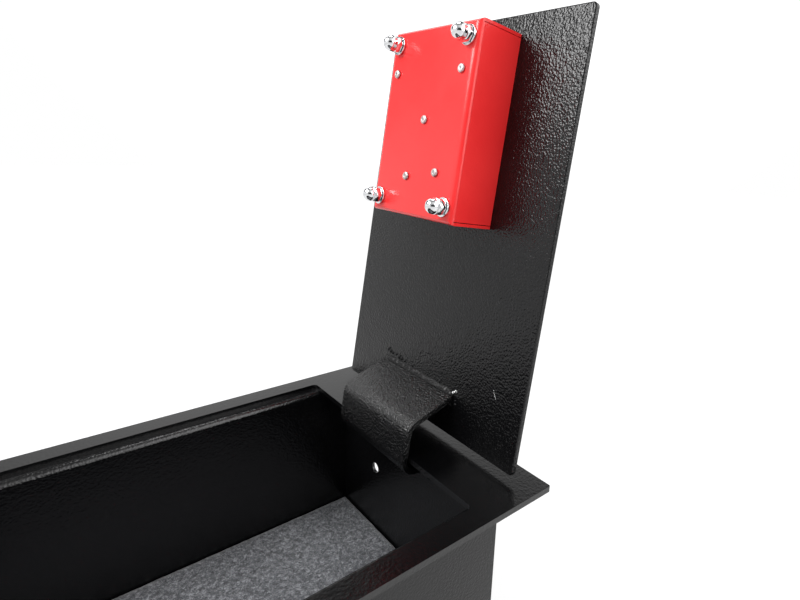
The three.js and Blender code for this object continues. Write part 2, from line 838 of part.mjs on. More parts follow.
function keyPlug() {
  const body = rod(plugDiameter, plugUnder, plugTop);
  const halfSlot = keyThickness / 2 + seat;
  const halfBlade = keyBladeWidth / 2 + seat;
  const keyway = block(-halfBlade, halfBlade, -halfSlot, halfSlot, plugTop - keyBladeDepth - seat, plugTop + 1);
  const tail = rod(tailPinDiameter, pawlUnder + pawlFloor + seat, plugUnder + 0.5, 12);
  tail.translate(-tailOffset * Math.cos(turn(45)), tailOffset * Math.sin(turn(45)), 0);
  return piece('key_plug', join(cut(body, keyway), tail), brass);
}

function lidKey() {
  const half = keyBladeWidth / 2;
  const bowRadius = radius(keyBowDiameter);
  const bladeEnd = plugTop - keyBladeDepth;
  const bowCentre = plugTop + keyNeck + bowRadius;
  const shoulder = Math.asin(half / bowRadius);
  const outline = new THREE.Shape();
  outline.moveTo(-half, bladeEnd);
  outline.lineTo(half, bladeEnd);
  outline.absarc(0, bowCentre, bowRadius, -Math.PI / 2 + shoulder, Math.PI * 1.5 - shoulder);
  outline.closePath();
  const ringHole = new THREE.Path();
  ringHole.absarc(0, bowCentre + bowRadius / 3, radius(keyBowHole), 0, Math.PI * 2);
  outline.holes.push(ringHole);
  return piece('lid_key', prismY(outline, -keyThickness / 2, keyThickness / 2, 24), brass);
}

function lockingPawl() {
  const start = -tailOffset * Math.cos(turn(45));
  const tip = radius(hubDiameter) - 0.3;
  const back = start - tailPinDiameter / 2 - 1.2;
  const half = pawlWidth / 2;
  const bar = block(back, tip, -half, half, pawlUnder, pawlUnder + pawlThickness);
  const slotHalf = tailPinDiameter / 2 + seat;
  const slot = block(start - slotHalf, start + slotHalf, -half - 1, half + 1, pawlUnder + pawlFloor, pawlUnder + 10);
  return piece('locking_pawl', cut(bar, slot), zincSteel);
}

// Bolt carriage: a sliding plate with two turned-up tabs that carry the bolts

const carriageFrontX = guideWebX + guideSheet / 2 + swingPass + boltTravel;
const crankStartX = spindleX + crankRadius * Math.sin(turn(handleTurn / 2));

function boltCarriage() {
  const under = underLid(carriageLevel + carriagePlate);
  const top = underLid(carriageLevel);
  const backX = spindleX + carriageBehindSpindle;
  const plate = block(carriageFrontX, backX, -carriageHalfWidth, carriageHalfWidth, under, top);
  const tab = (side) => {
    const y = side * boltSpacing / 2;
    const edge = boltTabWidth / 2;
    return block(carriageFrontX, carriageFrontX + carriagePlate, y - edge, y + edge, under, underLid(boltTabTop));
  };
  const neckHole = (side) => rodX(
    boltNeck + 2 * seat,
    carriageFrontX - 1,
    carriageFrontX + carriagePlate + 1,
    side * boltSpacing / 2,
    underLid(boltLevel),
  );
  const levels = [under - 1, top + 1];
  const spindleHalf = radius(journalDiameter) + slotSlack;
  const spindleSlot = block(
    spindleX - spindleHalf,
    backX + 1,
    spindleAcross - spindleHalf,
    spindleAcross + spindleHalf,
    ...levels,
  );
  const pinHalf = radius(crankPinDiameter) + slotSlack;
  const crankNear = spindleAcross + crankRadius * Math.cos(turn(handleTurn / 2));
  const crankSlot = block(
    crankStartX - pinHalf,
    crankStartX + pinHalf,
    crankNear - pinHalf,
    spindleAcross + crankRadius + pinHalf,
    ...levels,
  );
  const [postX, postY] = postPlace();
  const postHalf = radius(postNeck) + slide;
  const postSlot = block(carriageFrontX - 1, postX + boltTravel + postHalf, postY - postHalf, postY + postHalf, ...levels);
  const solid = cut(join(plate, tab(-1), tab(1)), neckHole(-1), neckHole(1), spindleSlot, crankSlot, postSlot);
  return piece('bolt_carriage', solid, zincSteel);
}

// Bolts drawn along Z with the nose down, then laid along the lid
function lockBolts() {
  const nose = caseFarX - boltProud;
  const shoulder = carriageFrontX - seat;
  const tabBack = carriageFrontX + carriagePlate + seat;
  const bolt = radius(boltDiameter);
  const neck = radius(boltNeck);
  const noseBevel = 1;
  const profile = [
    [0, nose],
    [bolt - noseBevel, nose],
    [bolt, nose + noseBevel],
    [bolt, shoulder],
    [neck, shoulder],
    [neck, tabBack],
    [neck + 1.5, tabBack],
    [neck + 1.5, tabBack + 2],
    [0, tabBack + 2],
  ];
  return [['near_lock_bolt', -1], ['far_lock_bolt', 1]].map(([name, side]) => {
    const mesh = piece(name, turned(profile), chrome);
    mesh.rotation.y = Math.PI / 2;
    mesh.position.set(0, side * boltSpacing / 2, underLid(boltLevel));
    return mesh;
  });
}

// Assembly

const safe = new THREE.Group();
safe.add(
  framePiece(),
  sideWall('near_side_wall', -1),
  sideWall('far_side_wall', 1),
  endWall('hinge_end_wall', 1),
  endWall('latch_end_wall', -1),
  basePlate(),
  feltMat(),
  hingeLug('near_hinge_lug', -1),
  hingeLug('far_hinge_lug', 1),
  hingePin(),
  pinClip(),
);

// Everything in this group turns open about the pin; inside it the coordinates are those of the closed lid
const lidSwing = new THREE.Group();
lidSwing.position.set(pinX, 0, pinZ);
lidSwing.rotation.y = turn(openAngle);
const lid = new THREE.Group();
lid.position.set(-pinX, 0, -pinZ);
lidSwing.add(lid);
safe.add(lidSwing);

lid.add(
  lidPlatePiece(),
  hingeBracket(),
  hingeBarrel(),
  bracketWeld('outer_bracket_weld', 1),
  bracketWeld('inner_bracket_weld', -1),
  lockCase(),
  ...caseStuds(),
  ...caseWashers(),
  ...domeNuts(),
  ...rivetPieces(),
  guidePost(),
  spindleBearing(),
  boltGuide(),
  handleCup(),
  boltCarriage(),
  ...lockBolts(),
);

const handle = new THREE.Group();
handle.position.set(spindleX, spindleAcross, 0);
handle.add(turnHandle(), driveSpindle(), driveCam(), crankPin(), keyPlug(), lidKey(), lockingPawl());
lid.add(handle);

export default safe;
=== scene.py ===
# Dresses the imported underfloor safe: coatings, bent edges, weld, felt, nuts, lights and camera.
import math

import bmesh
import bpy
from mathutils import Matrix, Vector, noise


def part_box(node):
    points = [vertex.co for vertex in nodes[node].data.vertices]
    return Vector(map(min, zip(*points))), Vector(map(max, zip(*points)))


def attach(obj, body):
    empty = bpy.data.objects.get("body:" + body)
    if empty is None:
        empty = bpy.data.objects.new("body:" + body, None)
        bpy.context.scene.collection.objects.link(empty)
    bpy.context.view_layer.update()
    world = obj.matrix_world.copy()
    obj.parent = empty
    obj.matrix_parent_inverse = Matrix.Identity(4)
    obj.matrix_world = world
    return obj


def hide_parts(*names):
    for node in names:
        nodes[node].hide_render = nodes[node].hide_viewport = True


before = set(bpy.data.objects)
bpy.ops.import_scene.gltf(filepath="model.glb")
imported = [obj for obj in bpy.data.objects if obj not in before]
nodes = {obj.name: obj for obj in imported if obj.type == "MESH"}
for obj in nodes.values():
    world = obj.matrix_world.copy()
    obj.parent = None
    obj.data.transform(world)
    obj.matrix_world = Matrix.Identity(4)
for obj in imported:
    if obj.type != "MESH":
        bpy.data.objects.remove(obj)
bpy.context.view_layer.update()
print("frame loaded:", len(nodes), "nodes")

# Helpers for materials


def newMaterial(name):
    material = bpy.data.materials.new(name)
    material.use_nodes = True
    tree = material.node_tree
    return material, tree, tree.nodes["Principled BSDF"]


def noiseNode(tree, perMetre, detail, roughness):
    # Noise over Object coordinates, with about this many spots to the metre
    place = tree.nodes.new("ShaderNodeTexCoord")
    mapping = tree.nodes.new("ShaderNodeMapping")
    mapping.inputs["Scale"].default_value = (perMetre, perMetre, perMetre)
    tree.links.new(place.outputs["Object"], mapping.inputs["Vector"])
    node = tree.nodes.new("ShaderNodeTexNoise")
    node.inputs["Scale"].default_value = 1.0
    node.inputs["Detail"].default_value = detail
    node.inputs["Roughness"].default_value = roughness
    tree.links.new(mapping.outputs["Vector"], node.inputs["Vector"])
    return node.outputs["Fac"]


def ramp(tree, value, stops):
    node = tree.nodes.new("ShaderNodeValToRGB")
    node.color_ramp.elements[0].position, node.color_ramp.elements[0].color = stops[0]
    node.color_ramp.elements[1].position, node.color_ramp.elements[1].color = stops[-1]
    for position, color in stops[1:-1]:
        node.color_ramp.elements.new(position).color = color
    tree.links.new(value, node.inputs["Fac"])
    return node.outputs["Color"]


def spread(tree, value, low, high, fromLow=0.3, fromHigh=0.7):
    # Maps the range from fromLow to fromHigh onto the range from low to high
    node = tree.nodes.new("ShaderNodeMapRange")
    node.inputs["From Min"].default_value = fromLow
    node.inputs["From Max"].default_value = fromHigh
    node.inputs["To Min"].default_value = low
    node.inputs["To Max"].default_value = high
    tree.links.new(value, node.inputs["Value"])
    return node.outputs["Result"]


def mathNode(tree, operation, *values):
    node = tree.nodes.new("ShaderNodeMath")
    node.operation = operation
    for socket, value in zip(node.inputs, values):
        if isinstance(value, (int, float)):
            socket.default_value = value
        else:
            tree.links.new(value, socket)
    return node.outputs["Value"]


def facing(tree, heading, side):
    node = tree.nodes.new("ShaderNodeVectorMath")
    node.operation = "DOT_PRODUCT"
    node.inputs[1].default_value = side
    tree.links.new(heading, node.inputs[0])
    return node.outputs["Value"]


def bump(tree, shader, height, distance):
    node = tree.nodes.new("ShaderNodeBump")
    node.inputs["Distance"].default_value = distance
    node.inputs["Strength"].default_value = 1.0
    tree.links.new(height, node.inputs["Height"])
    tree.links.new(node.outputs["Normal"], shader.inputs["Normal"])


def grey(value):
    return (value, value, value, 1.0)


# Powder coats: wrinkles of one size over a slower wave, with small changes of gloss


def coatMaterial(name, look):
    material, tree, shader = newMaterial(name)
    wrinkles = noiseNode(tree, 1 / look["wrinkle"], look["patternDetail"], look["wrinkleGrain"])
    wave = noiseNode(tree, 1 / look["wave"], look["patternDetail"], look["waveGrain"])
    height = mathNode(tree, "MULTIPLY_ADD", wave, look["waveShare"], wrinkles)
    bump(tree, shader, height, look["depth"])
    dust = noiseNode(tree, look["dustPerMetre"], look["dustDetail"], look["dustGrain"])
    darkStop, lightStop = look["stops"]
    color = ramp(tree, dust, [(darkStop, look["dark"]), (lightStop, look["light"])])
    tree.links.new(color, shader.inputs["Base Color"])
    smoothest = look["roughness"] - look["glossRange"]
    roughest = look["roughness"] + look["glossRange"]
    tree.links.new(spread(tree, dust, smoothest, roughest), shader.inputs["Roughness"])
    shader.inputs["Specular IOR Level"].default_value = look["specular"]
    return material


lidCoat = {
    "wrinkle": 0.0018,
    "wrinkleGrain": 0.4,
    "wave": 0.012,
    "waveGrain": 0.5,
    "waveShare": 0.3,
    "patternDetail": 1.0,
    "depth": 0.00055,
    "dustPerMetre": 14.0,
    "dustDetail": 5.0,
    "dustGrain": 0.6,
    "stops": (0.3, 0.72),
    "dark": (0.0021, 0.0021, 0.0024, 1),
    "light": (0.0036, 0.0036, 0.0040, 1),
    "roughness": 0.19,
    "glossRange": 0.03,
    "specular": 0.37,
}
# A copy of the lid's coat whose darker colours are painted shade, standing in for the shade on the
# bracket's lower leg
shadeDarkenedBracketCoat = dict(
    lidCoat,
    wrinkle=0.0016,
    waveShare=0.1,
    depth=0.0013,
    roughness=0.26,
    specular=0.54,
    # Painted shade: darker than the lid's colours
    dark=(0.0012, 0.0012, 0.0014, 1),
    light=(0.0024, 0.0024, 0.0027, 1),
)
weldCoat = dict(lidCoat, wrinkle=0.0015, depth=0.0003, roughness=0.32, specular=0.3)
frameCoat = dict(
    lidCoat,
    wrinkle=0.0022,
    wave=0.009,
    waveShare=0.15,
    depth=0.00014,
    roughness=0.22,
    specular=0.27,
    dark=(0.0010, 0.0010, 0.0012, 1),
    light=(0.0020, 0.0020, 0.0023, 1),
)
cutEdgeCoat = dict(frameCoat, wrinkle=0.0020, depth=0.0002, roughness=0.26, specular=0.7)
bodyCoat = dict(
    lidCoat,
    wrinkle=0.0019,
    waveShare=0.15,
    depth=0.0003,
    roughness=0.22,
    specular=0.45,
    dark=(0.0022, 0.0022, 0.0025, 1),
    light=(0.0038, 0.0038, 0.0042, 1),
)
caseCoat = dict(
    lidCoat,
    wrinkle=0.0019,
    wave=0.014,
    waveShare=1.2,
    depth=0.00008,
    roughness=0.22,
    glossRange=0.04,
    specular=0.5,
    dark=(0.76, 0.023, 0.024, 1),
    light=(0.84, 0.031, 0.031, 1),
)

lidPaint = coatMaterial("lidPaint", lidCoat)
bracketPaint = coatMaterial("bracketPaint", shadeDarkenedBracketCoat)
weldPaint = coatMaterial("weldPaint", weldCoat)
framePaint = coatMaterial("framePaint", frameCoat)
cutEdgePaint = coatMaterial("cutEdgePaint", cutEdgeCoat)
bodyPaint = coatMaterial("bodyPaint", bodyCoat)
casePaint = coatMaterial("casePaint", caseCoat)

# Plated or turned metal: a little haze over a fine grain


def platedMaterial(name, look):
    material, tree, shader = newMaterial(name)
    haze = noiseNode(tree, 1 / look["haze"], look["hazeDetail"], look["hazeGrain"])
    darkStop, lightStop = look["stops"]
    color = ramp(tree, haze, [(darkStop, look["dark"]), (lightStop, look["light"])])
    tree.links.new(color, shader.inputs["Base Color"])
    gloss = spread(tree, haze, look["smooth"], look["rough"])
    tree.links.new(gloss, shader.inputs["Roughness"])
    grain = noiseNode(tree, look["grainPerMetre"], look["grainDetail"], look["grainRoughness"])
    bump(tree, shader, grain, look["depth"])
    shader.inputs["Metallic"].default_value = 1.0
    return material


chromeLook = {
    "haze": 0.004,
    "hazeDetail": 4.0,
    "hazeGrain": 0.6,
    "stops": (0.3, 0.7),
    "dark": (0.74, 0.75, 0.77, 1),
    "light": (0.90, 0.91, 0.92, 1),
    "smooth": 0.05,
    "rough": 0.13,
    "grainPerMetre": 900,
    "grainDetail": 3.0,
    "grainRoughness": 0.7,
    "depth": 0.00002,
}
zincLook = dict(
    chromeLook,
    dark=(0.42, 0.43, 0.45, 1),
    light=(0.62, 0.62, 0.63, 1),
    smooth=0.22,
    rough=0.38,
    depth=0.00006,
)
brassLook = dict(
    zincLook,
    dark=(0.50, 0.33, 0.10, 1),
    light=(0.70, 0.50, 0.20, 1),
    smooth=0.18,
    rough=0.32,
)
rivetLook = dict(
    chromeLook,
    dark=(0.50, 0.44, 0.42, 1),
    light=(0.70, 0.64, 0.62, 1),
    smooth=0.3,
    rough=0.5,
)
spatterLook = dict(
    chromeLook,
    dark=(0.55, 0.55, 0.55, 1),
    light=(0.95, 0.95, 0.95, 1),
    smooth=0.2,
    rough=0.45,
)

chromePlate = platedMaterial("chromePlate", chromeLook)
zincPlate = platedMaterial("zincPlate", zincLook)
turnedBrass = platedMaterial("turnedBrass", brassLook)
paleRivet = platedMaterial("paleRivet", rivetLook)
bareSpatter = platedMaterial("bareSpatter", spatterLook)

# Pressed felt: light and dark fibres mixed in small clumps


def feltMaterial(name, look):
    material, tree, shader = newMaterial(name)
    clumps = noiseNode(tree, 1 / look["clump"], look["clumpDetail"], look["clumpGrain"])
    fibres = noiseNode(tree, 1 / look["fibre"], look["fibreDetail"], look["fibreGrain"])
    mixed = mathNode(tree, "MULTIPLY_ADD", fibres, look["fibreShare"], clumps)
    middle = 0.5 + 0.5 * look["fibreShare"]
    darkStop, lightStop = middle - look["darkBelow"], middle + look["lightAbove"]
    stops = [(darkStop, look["dark"]), (middle, look["middle"]), (lightStop, look["light"])]
    tree.links.new(ramp(tree, mixed, stops), shader.inputs["Base Color"])
    bump(tree, shader, mixed, look["depth"])
    shader.inputs["Roughness"].default_value = look["roughness"]
    shader.inputs["Specular IOR Level"].default_value = look["specular"]
    shader.inputs["Sheen Weight"].default_value = look["sheen"]
    shader.inputs["Sheen Roughness"].default_value = look["sheenRoughness"]
    return material


feltLook = {
    "clump": 0.0036,
    "clumpDetail": 5.0,
    "clumpGrain": 0.75,
    "fibre": 0.0009,
    "fibreDetail": 2.0,
    "fibreGrain": 0.6,
    "fibreShare": 0.5,
    "darkBelow": 0.24,
    "lightAbove": 0.22,
    "dark": (0.014, 0.016, 0.019, 1),
    "middle": (0.108, 0.112, 0.123, 1),
    "light": (0.38, 0.39, 0.41, 1),
    "depth": 0.0008,
    "roughness": 0.95,
    "specular": 0.15,
    "sheen": 0.35,
    "sheenRoughness": 0.5,
}
pressedFelt = feltMaterial("pressedFelt", feltLook)
print("materials made")

# CAD nodes keep their shape and get a coating, rounded edges and smooth bends

dressing = {
    "mergeReach": 0.00002,
    "bevelAngle": 32,
    "flatWeight": 100,
    # Width of the rounded edges and their segments
    "lidEdge": (0.0012, 4),
    "frameEdge": (0.0010, 3),
    "bracketEdge": (0.0005, 2),
    "sheetEdge": (0.0004, 2),
    "metalEdge": (0.0003, 2),
    "sideSlope": 0.5,
}


def dressNodes(names, material, edge, clamp=True):
    for name in names:
        part = nodes[name]
        part.data.materials.clear()
        part.data.materials.append(material)
        part.data.polygons.foreach_set("use_smooth", [True] * len(part.data.polygons))
        weld = part.modifiers.new("mergedCorners", "WELD")
        weld.merge_threshold = dressing["mergeReach"]
        bevel = part.modifiers.new("roundedEdges", "BEVEL")
        bevel.width, bevel.segments = edge
        bevel.limit_method = "ANGLE"
        bevel.angle_limit = math.radians(dressing["bevelAngle"])
        bevel.use_clamp_overlap = clamp
        flats = part.modifiers.new("flatFaces", "WEIGHTED_NORMAL")
        flats.mode = "FACE_AREA"
        flats.weight = dressing["flatWeight"]


def coatCutEdges(name, material):
    # On the cut edges of a plate the coat reflects more and blurs more than on its faces
    part = nodes[name]
    part.data.materials.append(material)
    for face in part.data.polygons:
        face.material_index = 1 if abs(face.normal.z) < dressing["sideSlope"] else 0


bracketNodes = ["hinge_bracket", "hinge_barrel", "inner_bracket_weld"]
bodyNodes = [
    "near_side_wall",
    "far_side_wall",
    "hinge_end_wall",
    "latch_end_wall",
    "base_plate",
    "near_hinge_lug",
    "far_hinge_lug",
]
rivetNodes = [
    "bearing_rivet_1",
    "bearing_rivet_2",
    "guide_rivet_1",
    "guide_rivet_2",
    "carriage_guide_post",
]
zincNodes = [
    "hinge_pin",
    "hinge_pin_clip",
    "spindle_bearing",
    "bolt_guide",
    "handle_cup",
    "bolt_carriage",
    "turn_handle",
    "drive_spindle",
    "drive_cam",
    "crank_pin",
    "locking_pawl",
]
studNodes = [f"case_stud_{number}" for number in range(1, 5)]
washerNodes = [f"case_washer_{number}" for number in range(1, 5)]

# With the clamp on, the lid's edges stay sharper than the width asks for
dressNodes(["lid_plate"], lidPaint, dressing["lidEdge"], clamp=False)
dressNodes(bracketNodes, bracketPaint, dressing["bracketEdge"])
dressNodes(["frame_plate"], framePaint, dressing["frameEdge"])
coatCutEdges("frame_plate", cutEdgePaint)
dressNodes(bodyNodes, bodyPaint, dressing["sheetEdge"])
dressNodes(["lock_case"], casePaint, dressing["sheetEdge"])
dressNodes(zincNodes + rivetNodes + studNodes, zincPlate, dressing["metalEdge"])
dressNodes(["near_lock_bolt", "far_lock_bolt"] + washerNodes, chromePlate, dressing["metalEdge"])
dressNodes(["key_plug", "lid_key"], turnedBrass, dressing["metalEdge"])
print("nodes dressed")

# Helpers for new pieces

tiny = 1e-6  # Corners closer than this are one corner


def newPiece(name, mesh, material, body, replaced=()):
    data = bpy.data.meshes.new(name)
    bmesh.ops.remove_doubles(mesh, verts=mesh.verts[:], dist=tiny)
    bmesh.ops.recalc_face_normals(mesh, faces=mesh.faces[:])
    mesh.to_mesh(data)
    mesh.free()
    data.polygons.foreach_set("use_smooth", [True] * len(data.polygons))
    piece = bpy.data.objects.new(name, data)
    bpy.context.scene.collection.objects.link(piece)
    data.materials.append(material)
    if replaced:
        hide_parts(*replaced)
    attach(piece, body)
    return piece


def sharpen(piece, degrees):
    piece.data.set_sharp_from_angle(angle=math.radians(degrees))


def boxCorners(name):
    low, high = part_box(name)
    return Vector(low), Vector(high)


def onlyVerts(geometry):
    return [item for item in geometry if isinstance(item, bmesh.types.BMVert)]


def openEdges(mesh):
    return [edge for edge in mesh.edges if edge.is_boundary]


# The open lid's own directions: along it towards the free end, and out of its underside
openLean = math.radians(8.2)
alongLid = Vector((math.sin(openLean), 0, math.cos(openLean)))
outOfLid = Vector((-math.cos(openLean), 0, math.sin(openLean)))
acrossLid = Vector((0, 1, 0))


def lidTurn(place):
    # Local X runs along the lid, Y across it and Z out of its underside
    turned = Matrix((alongLid, acrossLid, outOfLid)).transposed().to_4x4()
    return Matrix.Translation(place) @ turned


# Dome nuts: a chamfered hexagon under a smooth dome

domeNut = {
    "sides": 6,
    "acrossFlats": 0.013,
    "hexHeight": 0.006,
    "height": 0.0152,
    "dome": 0.0134,
    "chamfer": 0.0011,
    "chamferSteps": 2,
    "cornerRound": 0.0018,
    "cornerSteps": 4,
    "neckOverlap": 0.001,
    "aboveWasher": 0.0011,
    "turnSteps": 40,
    "domeSteps": 28,
    "sharpAngle": 28,
}


def isLevel(edge):
    return abs(edge.verts[0].co.z - edge.verts[1].co.z) < tiny


def bevelEdges(mesh, edges, offset, segments):
    bmesh.ops.bevel(
        mesh,
        geom=edges,
        offset=offset,
        affect="EDGES",
        segments=segments,
        profile=0.5,
        material=-1,
    )


def addBar(mesh, segments, radius, depth, middle):
    bmesh.ops.create_cone(
        mesh,
        cap_ends=True,
        segments=segments,
        radius1=radius,
        radius2=radius,
        depth=depth,
        matrix=Matrix.Translation((0, 0, middle)),
    )


def buildDomeNut(name, nutNode, washerNode):
    mesh = bmesh.new()
    corner = domeNut["acrossFlats"] / 2 / math.cos(math.pi / domeNut["sides"])
    hexHeight, overlap = domeNut["hexHeight"], domeNut["neckOverlap"]
    addBar(mesh, domeNut["sides"], corner, hexHeight, hexHeight / 2)
    corners = [edge for edge in mesh.edges if not isLevel(edge)]
    bevelEdges(mesh, corners, domeNut["cornerRound"], domeNut["cornerSteps"])
    rims = [edge for edge in mesh.edges if isLevel(edge)]
    bevelEdges(mesh, rims, domeNut["chamfer"], domeNut["chamferSteps"])
    radius = domeNut["dome"] / 2
    centre = domeNut["height"] - radius
    bmesh.ops.create_uvsphere(
        mesh,
        u_segments=domeNut["turnSteps"],
        v_segments=domeNut["domeSteps"],
        radius=radius,
        matrix=Matrix.Translation((0, 0, centre)),
    )
    neckMiddle = (centre + hexHeight - overlap) / 2
    addBar(mesh, domeNut["turnSteps"], radius, centre - hexHeight + overlap, neckMiddle)
    low, high = boxCorners(washerNode)
    place = (low + high) / 2 + outOfLid * domeNut["aboveWasher"]
    bmesh.ops.transform(mesh, matrix=lidTurn(place), verts=mesh.verts[:])
    piece = newPiece(name, mesh, chromePlate, "lid", [nutNode])
    sharpen(piece, domeNut["sharpAngle"])


for number, washerNode in enumerate(washerNodes, start=1):
    buildDomeNut(f"domeNut{number}", f"dome_nut_{number}", washerNode)
print("dome nuts made")

# Rivet heads: a flat disc with a rolled rim and the dent of the setting tool

rivetFace = {
    "height": 0.0004,
    "rim": 0.0005,
    "rimRoll": (0.4, 0.35),  # Shares of the rim, inwards and down
    "dent": 0.0009,
    "dentRadius": 0.0011,
    "dentFloor": 0.6,
    "dentLip": (0.0003, 0.0001),  # Outwards and down
    "foot": (0.00005, -0.00008),
    "underside": -0.0002,
    "topBand": 0.0001,
    "steps": 32,
    "sharpAngle": 35,
}


def buildRivetFace(name, node):
    corners = [vert.co for vert in nodes[node].data.vertices]
    top = max(corner.dot(outOfLid) for corner in corners)
    face = [corner for corner in corners if corner.dot(outOfLid) > top - rivetFace["topBand"]]
    centre = sum(face, Vector()) / len(face)
    radius = max((corner - centre).length for corner in face)
    height, rim, dentRadius = rivetFace["height"], rivetFace["rim"], rivetFace["dentRadius"]
    lipOut, lipDown = rivetFace["dentLip"]
    rollIn, rollDown = rivetFace["rimRoll"]
    footTop, footEnd = rivetFace["foot"]
    profile = [
        (0, height - rivetFace["dent"]),
        (dentRadius * rivetFace["dentFloor"], height - rivetFace["dent"]),
        (dentRadius, height - lipDown),
        (dentRadius + lipOut, height),
        (radius - rim, height),
        (radius - rim * rollIn, height - rim * rollDown),
        (radius, footTop),
        (radius, footEnd),
        (0, rivetFace["underside"]),
    ]
    mesh = bmesh.new()
    points = [mesh.verts.new((across, 0, level)) for across, level in profile]
    line = [mesh.edges.new(pair) for pair in zip(points, points[1:])]
    bmesh.ops.spin(
        mesh,
        geom=points + line,
        cent=(0, 0, 0),
        axis=(0, 0, 1),
        angle=math.tau,
        steps=rivetFace["steps"],
        use_merge=True,
    )
    bmesh.ops.transform(mesh, matrix=lidTurn(centre), verts=mesh.verts[:])
    piece = newPiece(name, mesh, paleRivet, "lid")
    sharpen(piece, rivetFace["sharpAngle"])


for number, node in enumerate(rivetNodes, start=1):
    buildRivetFace(f"rivetFace{number}", node)
print("rivet faces made")

# Weld bead between the lid and the bracket, with ripples and drops of spatter beside it

weldBead = {
    "leg": 0.0036,
    "plateReach": 0.9,
    "plateDrop": 0.42,
    "cornerLift": 0.0010,
    "steps": 190,
    "round": 12,
    "ripple": 0.0034,
    "rippleBow": 0.35,
    "rippleLift": 0.07,
    "crown": 0.26,
    "bulge": 0.55,
    "uneven": 0.3,
    "lumpsPerMetre": 190,
    "lumpsAround": 0.9,
    "grainsPerMetre": 520,
    "grainsAround": 3,
    "grainShare": 0.5,
    "reachPerMetre": 150,
    "reachRange": 0.35,
    "taper": 0.003,
    "endShare": 0.25,
    "backShare": 0.02,
    "noiseLayers": (4, 9),
}
weldLumps = {
    # Distance along the lid from its lower edge, place across it, and size
    "painted": [
        (0.0462, 0.0596, 0.0020),
        (0.0478, 0.0582, 0.0013),
        (0.0448, 0.0560, 0.0019),
        (0.0440, 0.0520, 0.0017),
        (0.0447, 0.0462, 0.0014),
        (0.0440, 0.0405, 0.0024),
        (0.0434, 0.0368, 0.0018),
        (0.0428, 0.0312, 0.0014),
        (0.0424, 0.0180, 0.0012),
        (0.0424, -0.0060, 0.0013),
        (0.0422, -0.0240, 0.0015),
        (0.0494, -0.0494, 0.0011),
        (0.0298, -0.0488, 0.0013),
        (0.0330, -0.0484, 0.0008),
    ],
    "bright": [
        (0.0416, -0.0474, 0.0015),
        (0.0400, -0.0456, 0.0013),
        (0.0386, -0.0436, 0.0014),
        (0.0376, -0.0440, 0.0009),
        (0.0446, 0.0404, 0.0007),
    ],
    "edgeLift": 0.0007,
    "flat": 0.62,
    "rough": 0.28,
    "roughScale": 1.3,
    "roughShift": (900, 700),
    # Marks where something has scraped the coating: start, end and width
    "scrapes": [
        ((0.0584, -0.0913), (0.0528, -0.0950), 0.00035),
        ((0.0600, -0.0908), (0.0590, -0.0912), 0.0003),
    ],
    "scrapeHeight": 0.00012,
    "scrapeRough": 0.5,
    "scrapeScale": 4,
}


def onLid(along, across):
    # A place on the lid's underside, measured from its lower edge
    edge = boxCorners("lid_plate")[0]
    return Vector((edge.x, across, edge.z + weldLumps["edgeLift"])) + alongLid * along


def addWeldLumps(mesh, lumps):
    # Flattened drops that sit on the lid's underside, each with its own uneven surface
    alongShift, acrossShift = weldLumps["roughShift"]
    for along, across, size in lumps:
        drop = bmesh.ops.create_icosphere(mesh, subdivisions=3, radius=size)["verts"]
        shift = Vector((along * alongShift, across * acrossShift, 0))
        for vert in drop:
            uneven = noise.noise(vert.co * (weldLumps["roughScale"] / size) + shift)
            vert.co *= 1 + weldLumps["rough"] * uneven
            vert.co.z *= weldLumps["flat"]
        bmesh.ops.transform(mesh, matrix=lidTurn(onLid(along, across)), verts=drop)


def addScrapes(mesh, scrapes):
    height, scale = weldLumps["scrapeHeight"], weldLumps["scrapeScale"]
    for start, end, width in scrapes:
        first, last = onLid(*start), onLid(*end)
        line = last - first
        side = line.normalized().cross(outOfLid)
        sliver = bmesh.ops.create_icosphere(mesh, subdivisions=3, radius=1)["verts"]
        for vert in sliver:
            thin = width * (1 + weldLumps["scrapeRough"] * noise.noise(vert.co * scale))
            aside = side * vert.co.y * thin
            vert.co = (
                (first + last) / 2 + line * vert.co.x / 2 + aside + outOfLid * vert.co.z * height
            )


